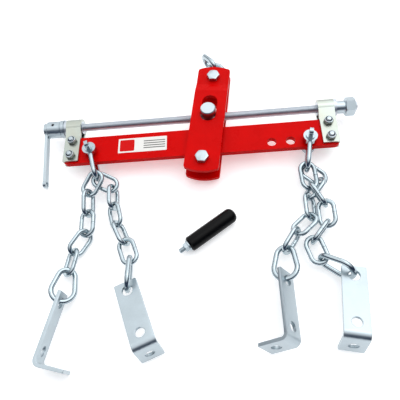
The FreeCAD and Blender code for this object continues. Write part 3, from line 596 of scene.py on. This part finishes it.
def thread(radius, depth, pitch, low, high, steps=24):
    """Threaded bar on the Z axis: a core and one closed helical ridge on it."""
    core = bevel_rims(cylinder(radius - depth, low, high, sides=steps * 2), depth)
    deselect()
    bpy.ops.mesh.primitive_plane_add(size=pitch)
    ridge = bpy.context.object
    inner, foot, crest = radius - depth * RIDGE_SINK, pitch * RIDGE_FOOT, pitch * RIDGE_CREST
    corners = [(inner, -foot), (radius, -crest), (radius, crest), (inner, foot)]
    for vertex, corner in zip((ridge.data.vertices[i] for i in (0, 1, 3, 2)), corners):
        vertex.co = (corner[0], 0, corner[1])
    activate(ridge)
    bpy.ops.object.mode_set(mode="EDIT")
    bpy.ops.mesh.select_mode(type="FACE")
    bpy.ops.mesh.select_all(action="SELECT")
    bpy.ops.mesh.delete(type="ONLY_FACE")
    bpy.ops.object.mode_set(mode="OBJECT")
    turns = int((high - low) / pitch - RIDGE_FREE)
    helix = ridge.modifiers.new("helix", "SCREW")
    helix.axis = "Z"
    helix.screw_offset = pitch
    helix.iterations = turns
    helix.steps = steps
    helix.render_steps = steps
    helix.use_merge_vertices = True
    apply_modifiers(ridge)
    bpy.ops.object.mode_set(mode="EDIT")
    bpy.ops.mesh.select_mode(type="EDGE")
    bpy.ops.mesh.select_all(action="SELECT")
    bpy.ops.mesh.fill_holes(sides=4)
    bpy.ops.mesh.select_all(action="SELECT")
    bpy.ops.transform.translate(value=(0, 0, low + (high - low - turns * pitch) / 2))
    bpy.ops.mesh.normals_make_consistent(inside=False)
    bpy.ops.object.mode_set(mode="OBJECT")
    return join([core, ridge])


def join(parts):
    """One piece from several."""
    deselect()
    for part in parts:
        part.select_set(True)
    bpy.context.view_layer.objects.active = parts[0]
    bpy.ops.object.join()
    return bpy.context.object


def copy_of(piece):
    """Copy of a piece with its own mesh."""
    activate(piece)
    bpy.ops.object.duplicate(linked=False)
    return bpy.context.object


def lay(piece, place):
    """Put a piece modelled at the origin in its place, and leave that place in its mesh."""
    piece.matrix_world = place
    activate(piece)
    bpy.ops.object.transform_apply(location=True, rotation=True, scale=True)
    return piece


def complete(piece, name, body, material, slot, *nodes):
    """Name and shade a finished piece, and hand it to its body."""
    activate(piece)
    bpy.ops.object.shade_smooth_by_angle(angle=SMOOTH)
    piece.name = name
    piece.data.name = name
    if material:
        piece.data.materials.clear()
        piece.data.materials.append(finish(material))
    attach(piece, body)
    if nodes:
        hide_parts(*nodes)
    return piece


def centre(node):
    """Middle of a node's box."""
    low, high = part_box(node)
    return (low + high) / 2


def along_x(point):
    """Place whose Z axis runs along the screw."""
    return Matrix.Translation(point) @ Matrix.Rotation(math.radians(90), 4, "Y")


# Operators


class LEVELER_OT_finish_nodes(bpy.types.Operator):
    """Give every solid of the frame the finish of its slot"""

    bl_idname = "leveler.finish_nodes"
    bl_label = "Finish the frame"

    def execute(self, context):
        for name, node in NODES.items():
            node.data.materials.clear()
            node.data.materials.append(finish("wire_zinc" if name.startswith(WIRE) else SLOT_OF[name]))
        return {"FINISHED"}


class LEVELER_OT_lead_screw(bpy.types.Operator):
    """Model the threaded lead screw between its plain ends"""

    bl_idname = "leveler.lead_screw"
    bl_label = "Lead screw"

    def execute(self, context):
        sizes = context.scene.leveler_sizes
        low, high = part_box("lead_screw")
        middle, radius = (low + high) / 2, (high.z - low.z) / 2
        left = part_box("end_strap_left")[1].x - THREAD_LAP - middle.x
        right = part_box("end_strap_right")[0].x + THREAD_LAP - middle.x
        parts = [thread(radius, sizes.screw_depth, sizes.screw_pitch, left, right),
                 bevel_rims(cylinder(radius, low.x - middle.x, left), radius * ROD_RIM),
                 bevel_rims(cylinder(radius, right, high.x - middle.x), radius * ROD_RIM)]
        rod = lay(join(parts), along_x(middle))
        complete(rod, "threaded_screw", "screw", "screw_steel", "screw_steel", "lead_screw")
        return {"FINISHED"}


class LEVELER_OT_fasteners(bpy.types.Operator):
    """Model the bolts and nuts with turned crowns and threaded ends"""

    bl_idname = "leveler.fasteners"
    bl_label = "Bolts and nuts"

    def execute(self, context):
        self.strap_fasteners()
        for name in ("lift", "keeper"):
            self.trolley_fasteners(name)
        self.end_nut()
        return {"FINISHED"}

    def locking_nut(self, across, shank, low, high):
        """Hexagon with a round collar on top, and the dark insert sunk in the collar; the hexagon's darker zinc is
        painted shade on the nut's sides, and the black ring is partly the insert and partly painted shade in the
        gap round the bolt's end.
        """
        shoulder, step = low + (high - low) * NUT_SHOULDER, (high - low) * NUT_STEP
        rim, insert_shade = across * NUT_COLLAR, across * NUT_INSERT_SHADE
        body = hex_block(across, low, shoulder, ("low", "high"))
        collar = bevel_rims(cylinder(rim, shoulder - step, high), step)
        boolean(collar, cylinder(insert_shade, high - 2 * step, high + step), "DIFFERENCE")
        insert_shade_ring = bevel_rims(cylinder(insert_shade, high - 3 * step, high - step), step / 4)
        # Painted shade: the hexagon takes a darker zinc than the collar, and the insert's black ring darkens the
        # gap round the bolt's end
        for piece, material in ((body, "nut_zinc"), (collar, "bright_zinc"), (insert_shade_ring, "black_plastic")):
            boolean(piece, cylinder(shank / 2, low - step, high + step), "DIFFERENCE")
            piece.data.materials.clear()
            piece.data.materials.append(finish(material))
        return join([body, collar, insert_shade_ring])

    def strap_fasteners(self):
        """Four small bolts through the straps, with their nuts in front."""
        low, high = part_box("strap_bolts")
        nut_low, nut_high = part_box("strap_nuts")
        apart = centre("end_strap_right").x - centre("end_strap_left").x
        across = (nut_high.x - nut_low.x - apart) / 2 * math.sqrt(3)
        shank = across * STRAP_SHANK
        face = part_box("end_strap_left")[0].z
        head = hex_block(across, low.z, face, ("low",))
        stud = thread(shank / 2, shank * BOLT_DEPTH, shank * STRAP_PITCH, face, high.z)
        nut = self.locking_nut(across, shank, nut_low.z, nut_high.z)
        bolt = join([head, stud])
        bolts, nuts = [], []
        rows = (nut_low.y + across / 2, nut_high.y - across / 2)
        for strap in ("end_strap_left", "end_strap_right"):
            for row in rows:
                place = Matrix.Translation((centre(strap).x, row, 0))
                bolts.append(lay(copy_of(bolt), place))
                nuts.append(lay(copy_of(nut), place))
        for pattern in (bolt, nut):
            activate(pattern)
            bpy.ops.object.delete()
        complete(join(bolts), "strap_bolt_set", "bar", "bright_zinc", "bright_zinc", "strap_bolts")
        complete(join(nuts), "strap_nut_set", "bar", None, "bright_zinc", "strap_nuts")

    def trolley_fasteners(self, name):
        """One large bolt through both trolley plates, and its nut behind."""
        sizes = bpy.context.scene.leveler_sizes
        across, shank = sizes.trolley_hex, sizes.trolley_shank
        spot = centre(name + "_nut")
        low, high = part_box(name + "_bolt")
        nut_low, nut_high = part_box(name + "_nut")
        axis = centre("lift_nut") - centre("keeper_nut")
        turn = Matrix.Rotation(math.atan2(axis.y, axis.x) - math.radians(90), 4, "Z")
        head_face = high.z - sizes.trolley_head
        head = hex_block(across, head_face, high.z, ("high",))
        stud = thread(shank / 2, shank * BOLT_DEPTH, shank * TROLLEY_PITCH, low.z, head_face)
        place = Matrix.Translation((spot.x, spot.y, 0)) @ turn
        bolt = lay(join([head, stud]), place)
        complete(bolt, name + "_bolt_turned", "trolley", "bright_zinc", "bright_zinc", name + "_bolt")
        nut = hex_block(across, nut_low.z, nut_high.z, ("low", "high"))
        boolean(nut, cylinder(shank / 2, nut_low.z - shank, nut_high.z + shank), "DIFFERENCE")
        complete(lay(nut, place), name + "_nut_turned", "trolley", "bright_zinc", "bright_zinc",
                 name + "_nut")

    def end_nut(self):
        """Nut on the end of the screw."""
        low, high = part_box("end_nut")
        radius = (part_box("lead_screw")[1].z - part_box("lead_screw")[0].z) / 2
        across, half = bpy.context.scene.leveler_sizes.end_hex, (high.x - low.x) / 2
        nut = hex_block(across, -half, half, ("low", "high"))
        boolean(nut, cylinder(radius, -2 * half, 2 * half), "DIFFERENCE")
        complete(lay(nut, along_x(centre("end_nut"))), "end_nut_turned", "screw", "bright_zinc",
                 "bright_zinc", "end_nut")


class LEVELER_OT_grip_stud(bpy.types.Operator):
    """Model the grip's stud with its flange, hexagon and thread"""

    bl_idname = "leveler.grip_stud"
    bl_label = "Grip stud"

    def execute(self, context):
        sizes = context.scene.leveler_sizes
        shank, spin = sizes.stud_shank, Vector(JOINTS["grip_spin"]["axis"])
        radius = shank / 2
        low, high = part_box("grip_stud")
        flange = (high.z - low.z) / 2
        tip = Vector((low.x + radius * spin.y, low.y + radius * spin.x, (low.z + high.z) / 2))
        length = (high.x - low.x - 2 * radius * spin.y) / spin.x
        hex_face = sizes.stud_thread
        flange_face = hex_face + sizes.stud_head
        seat = flange_face + sizes.stud_flange
        parts = [thread(radius, shank * BOLT_DEPTH, shank * STUD_PITCH, 0, hex_face),
                 hex_block(sizes.stud_hex, hex_face, flange_face, ("low",)),
                 bevel_rims(cylinder(flange, flange_face, seat), flange * FLANGE_RIM),
                 bevel_rims(cylinder(radius, seat, length), radius * ROD_RIM)]
        turn = spin.to_track_quat("Z", "Y").to_matrix().to_4x4()
        stud = lay(join(parts), Matrix.Translation(tip) @ turn)
        complete(stud, "grip_stud_turned", "stud", "bright_zinc", "bright_zinc", "grip_stud")
        return {"FINISHED"}


class LEVELER_OT_link_welds(bpy.types.Operator):
    """Add the butt weld to one side of every chain link"""

    bl_idname = "leveler.link_welds"
    bl_label = "Link welds"

    def execute(self, context):
        sizes = context.scene.leveler_sizes
        height, wire, half_width = sizes.weld_height, sizes.link_wire, sizes.link_width / 2
        deselect()
        bpy.ops.mesh.primitive_torus_add(major_segments=WELD_STEPS, minor_segments=BEAD_STEPS,
                                         major_radius=wire / 2 - height, minor_radius=2 * height)
        pattern = bpy.context.object
        for strand in STRANDS:
            for number in range(1, LINKS + 1):
                node = "chain_%s_link_%d" % (strand, number)
                after = JOINTS["swing_%s%s" % (strand, number + 1 if number < LINKS else "_ring")]
                middle, across = centre(node), Vector(after["axis"])
                length = (Vector(after["pos_m"]) - middle).normalized()
                turn = Matrix((across, length.cross(across), length)).transposed().to_4x4()
                place = Matrix.Translation(middle + across * half_width) @ turn
                weld = lay(copy_of(pattern), place)
                complete(weld, "weld_%s%d" % (strand, number), BODY_OF[node], "wire_zinc", "bright_zinc")
        activate(pattern)
        bpy.ops.object.delete()
        return {"FINISHED"}


class LEVELER_OT_brackets(bpy.types.Operator):
    """Model the bent corner brackets with sheared corners and softened edges"""

    bl_idname = "leveler.brackets"
    bl_label = "Corner brackets"

    def execute(self, context):
        places = {}
        for letter in STRANDS:
            long_hole, short_hole = (MOUNTS["bracket_%s_%s" % (letter, leg)] for leg in ("long", "short"))
            up, ahead = Vector(long_hole["axis"]), Vector(short_hole["axis"])
            turn = Matrix((ahead, up.cross(ahead), up)).transposed().to_4x4()
            places[letter] = Matrix.Translation(long_hole["pos_m"]) @ turn
        thick, bolt_radius = (long_hole["dims"][key] * MM for key in ("length_mm", "r_mm"))
        foot = places[letter].inverted() @ Vector(short_hole["pos_m"])
        pattern = self.bent_strip(context.scene.leveler_sizes, thick, bolt_radius, foot)
        for letter, place in places.items():
            node = "bracket_" + letter
            complete(lay(copy_of(pattern), place), node + "_bent", BODY_OF[node], "bright_zinc",
                     "bright_zinc", node)
        activate(pattern)
        bpy.ops.object.delete()
        return {"FINISHED"}

    def bent_strip(self, sizes, thick, bolt_radius, foot):
        """Bracket with its long leg along X, the bolt hole there at the origin and the short leg down."""
        far, near = sizes.bracket_hole, sizes.bracket_hole - sizes.bracket_long
        tail = thick / 2 - sizes.bracket_short
        deselect()
        bpy.ops.mesh.primitive_cube_add(size=1, location=((near + far) / 2, 0, 0))
        strip = bpy.context.object
        strip.scale = (far - near, sizes.bracket_width, thick)
        bpy.ops.object.transform_apply(location=True, rotation=True, scale=True)
        bpy.ops.object.mode_set(mode="EDIT")
        bpy.ops.mesh.select_all(action="SELECT")
        bpy.ops.mesh.bisect(plane_co=(far - thick, 0, 0), plane_no=(1, 0, 0))
        select_faces(strip, lambda face: face.normal.z < -0.9 and face.center.x > far - thick)
        bpy.ops.mesh.extrude_region_move(TRANSFORM_OT_translate={"value": (0, 0, tail + thick / 2)})
        bpy.ops.mesh.select_all(action="SELECT")
        bpy.ops.mesh.dissolve_limited(angle_limit=math.radians(1))
        bpy.ops.object.mode_set(mode="OBJECT")
        slack = thick / 50

        def crosses(x, z):
            spot = Vector((x, z))
            return lambda first, second: max((first.xz - spot).length, (second.xz - spot).length) < slack

        def on_end(first, second):
            rise, run = abs(first.z - second.z), abs(first.x - second.x)
            if max(first.x, second.x) < near + slack:
                return rise > thick / 2
            return max(first.z, second.z) < tail + slack and run > thick / 2

        bevel_edges(strip, crosses(far, thick / 2), sizes.bracket_bend + thick, OUTER_STEPS)
        bevel_edges(strip, crosses(far - thick, -thick / 2), sizes.bracket_bend, INNER_STEPS)
        bevel_edges(strip, on_end, sizes.bracket_corner, CORNER_STEPS)
        boolean(strip, cylinder(bolt_radius, -thick, thick), "DIFFERENCE")
        chain_hole = lay(cylinder(sizes.chain_hole / 2, -thick, thick),
                         Matrix.Translation((near + sizes.chain_edge, 0, 0)))
        boolean(strip, chain_hole, "DIFFERENCE")
        boolean(strip, lay(cylinder(bolt_radius, -thick, thick), along_x(foot)), "DIFFERENCE")
        soft = strip.modifiers.new("soft", "BEVEL")
        soft.width = thick * SOFT_SHARE
        soft.segments = RIM_STEPS
        soft.limit_method = "ANGLE"
        soft.angle_limit = SOFT_ANGLE
        apply_modifiers(strip)
        # The large faces keep their own flat shading
        select_faces(strip, lambda face: face.area > thick * thick)
        bpy.ops.mesh.region_to_loop()
        bpy.ops.mesh.mark_sharp()
        bpy.ops.object.mode_set(mode="OBJECT")
        return strip


class LEVELER_OT_label(bpy.types.Operator):
    """Stick a plain label on the bar's face"""

    bl_idname = "leveler.label"
    bl_label = "Label"

    def execute(self, context):
        sizes = context.scene.leveler_sizes
        low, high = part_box("load_bar")
        middle = Vector(((low.x + high.x) / 2 + sizes.label_offset, low.y + sizes.label_rise, high.z))
        top = FILM + PRINT
        half_length, half_width = sizes.label_length / 2, sizes.label_width / 2
        edge, field = half_width * FILM_MARGIN, half_width * (1 - FILM_MARGIN)
        left, start, end = edge - half_length, half_length * RULE_START, half_length - edge
        film = self.sheet(-half_length, half_length, -half_width, half_width, FILM, FILM_CORNER, "label_film")
        block = self.sheet(left, left + BLOCK_LENGTH * field, -field, field, top, BLOCK_CORNER * field,
                           "label_red")
        parts = [film, block]
        for row in RULES:
            low_side, high_side = (row - HALF_RULE) * field, (row + HALF_RULE) * field
            parts.append(self.sheet(start, end, low_side, high_side, top, FILM, "label_grey"))
        label = lay(join(parts), Matrix.Translation(middle))
        complete(label, "bar_label", "bar", None, "red_paint")
        return {"FINISHED"}

    def sheet(self, left, right, low, high, top, corner, material):
        """Thin printed field with rounded corners that stands on the bar."""
        deselect()
        bpy.ops.mesh.primitive_cube_add(size=1, location=((left + right) / 2, (low + high) / 2, top / 2))
        field = bpy.context.object
        field.scale = (right - left, high - low, top)
        bpy.ops.object.transform_apply(location=True, rotation=True, scale=True)
        bevel_edges(field, lambda first, second: abs(first.z - second.z) > top / 2, corner, SHEET_STEPS)
        field.data.materials.append(finish(material))
        return field


class LEVELER_OT_stage(bpy.types.Operator):
    """Set the pale table, the soft lights and the camera"""

    bl_idname = "leveler.stage"
    bl_label = "Stage"

    def execute(self, context):
        stage = context.scene.leveler_stage
        self.floor(tuple(stage.floor), stage.glow)
        self.world(context.scene, stage.tent)
        for name, lamp in LAMPS.items():
            self.light(name, getattr(stage, name + "_power"), *lamp)
        self.camera(context.scene, stage.lens)
        return {"FINISHED"}

    def floor(self, colour, strength):
        """Table with a faint glow that lifts the shadows."""
        deselect()
        bpy.ops.mesh.primitive_plane_add(size=TABLE_SIZE, location=(0, 0, TABLE_TOP))
        table = bpy.context.object
        bpy.ops.object.transform_apply(location=True, rotation=True, scale=True)
        table.name = "table"
        top = label_film("table_top", colour, TABLE_ROUGH)
        glow = top.node_tree.nodes["Principled BSDF"].inputs
        glow["Emission Color"].default_value = (1, 1, 1, 1)
        glow["Emission Strength"].default_value = strength
        table.data.materials.append(top)

    def world(self, scene, strength):
        """White tent over and behind the table, dark at its open front, with a white backdrop in view."""
        scene.world = bpy.data.worlds.new("studio")
        scene.world.use_nodes = True
        tree = scene.world.node_tree
        way = add_node(tree, "ShaderNodeTexCoord").outputs["Generated"]
        rise = add_node(tree, "ShaderNodeVectorMath", {0: way, 1: TENT_WAY}, operation="DOT_PRODUCT")
        top = add_node(tree, "ShaderNodeMapRange",
                       {"Value": rise.outputs["Value"], "From Min": TENT_FROM, "From Max": TENT_TO})
        sky = blend_colour(tree, top.outputs["Result"], TENT_OPEN, TENT_WHITE)
        seen = add_node(tree, "ShaderNodeLightPath").outputs["Is Camera Ray"]
        backdrop = blend_colour(tree, seen, sky, BACKDROP)
        tree.links.new(backdrop, tree.nodes["Background"].inputs["Color"])
        tree.nodes["Background"].inputs["Strength"].default_value = strength
        scene.view_settings.view_transform = "Standard"

    def light(self, name, power, place, target, size):
        """Round soft light that faces its target."""
        deselect()
        bpy.ops.object.light_add(type="AREA", location=place)
        lamp = bpy.context.object
        lamp.name = name
        lamp.data.shape = "DISK"
        lamp.data.size = size
        lamp.data.energy = power
        way = Vector(target) - Vector(place)
        lamp.rotation_euler = way.to_track_quat("-Z", "Y").to_euler()

    def camera(self, scene, lens):
        """Camera above the bar's lower side, turned and rolled as in the picture."""
        yaw, pitch, roll = (math.radians(angle) for angle in CAMERA_TURN)
        ahead = Vector((math.sin(yaw) * math.cos(pitch), math.cos(yaw) * math.cos(pitch), -math.sin(pitch)))
        level = Vector((math.cos(yaw), -math.sin(yaw), 0))
        above = level.cross(ahead)
        right = level * math.cos(roll) + above * math.sin(roll)
        up = above * math.cos(roll) - level * math.sin(roll)
        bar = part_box("load_bar")
        datum = Vector(((bar[0].x + bar[1].x) / 2, bar[0].y, 0))
        deselect()
        bpy.ops.object.camera_add()
        camera = bpy.context.object
        turn = Matrix((right, up, -ahead)).transposed().to_4x4()
        camera.matrix_world = Matrix.Translation(datum + Vector(CAMERA_PLACE) * MM) @ turn
        camera.data.lens = lens
        camera.data.sensor_width = FRAME_WIDTH
        scene.camera = camera


class LEVELER_PT_panel(bpy.types.Panel):
    """Lists the pieces of the leveler and their settings"""

    bl_idname = "LEVELER_PT_panel"
    bl_label = "Engine load leveler"
    bl_space_type = "VIEW_3D"
    bl_region_type = "UI"
    bl_category = "Leveler"

    def draw(self, context):
        for operator in OPERATORS:
            self.layout.operator(operator.bl_idname)
        for name, group in SETTINGS.items():
            box = self.layout.box()
            for key in group.__annotations__:
                box.prop(getattr(context.scene, name), key)


OPERATORS = (LEVELER_OT_finish_nodes, LEVELER_OT_lead_screw, LEVELER_OT_fasteners, LEVELER_OT_grip_stud,
             LEVELER_OT_link_welds, LEVELER_OT_brackets, LEVELER_OT_label, LEVELER_OT_stage)
SETTINGS = {"leveler_finishes": LevelerFinishes, "leveler_sizes": LevelerSizes, "leveler_stage": LevelerStage}


def register():
    for group in (*SETTINGS.values(), *OPERATORS, LEVELER_PT_panel):
        bpy.utils.register_class(group)
    for name, group in SETTINGS.items():
        setattr(bpy.types.Scene, name, bpy.props.PointerProperty(type=group))


def unregister():
    for name in SETTINGS:
        delattr(bpy.types.Scene, name)
    for group in reversed((*SETTINGS.values(), *OPERATORS, LEVELER_PT_panel)):
        bpy.utils.unregister_class(group)


def main():
    register()
    bpy.ops.leveler.finish_nodes()
    bpy.ops.leveler.lead_screw()
    bpy.ops.leveler.fasteners()
    bpy.ops.leveler.grip_stud()
    bpy.ops.leveler.link_welds()
    bpy.ops.leveler.brackets()
    bpy.ops.leveler.label()
    bpy.ops.leveler.stage()


if __name__ == "__main__":
    main()
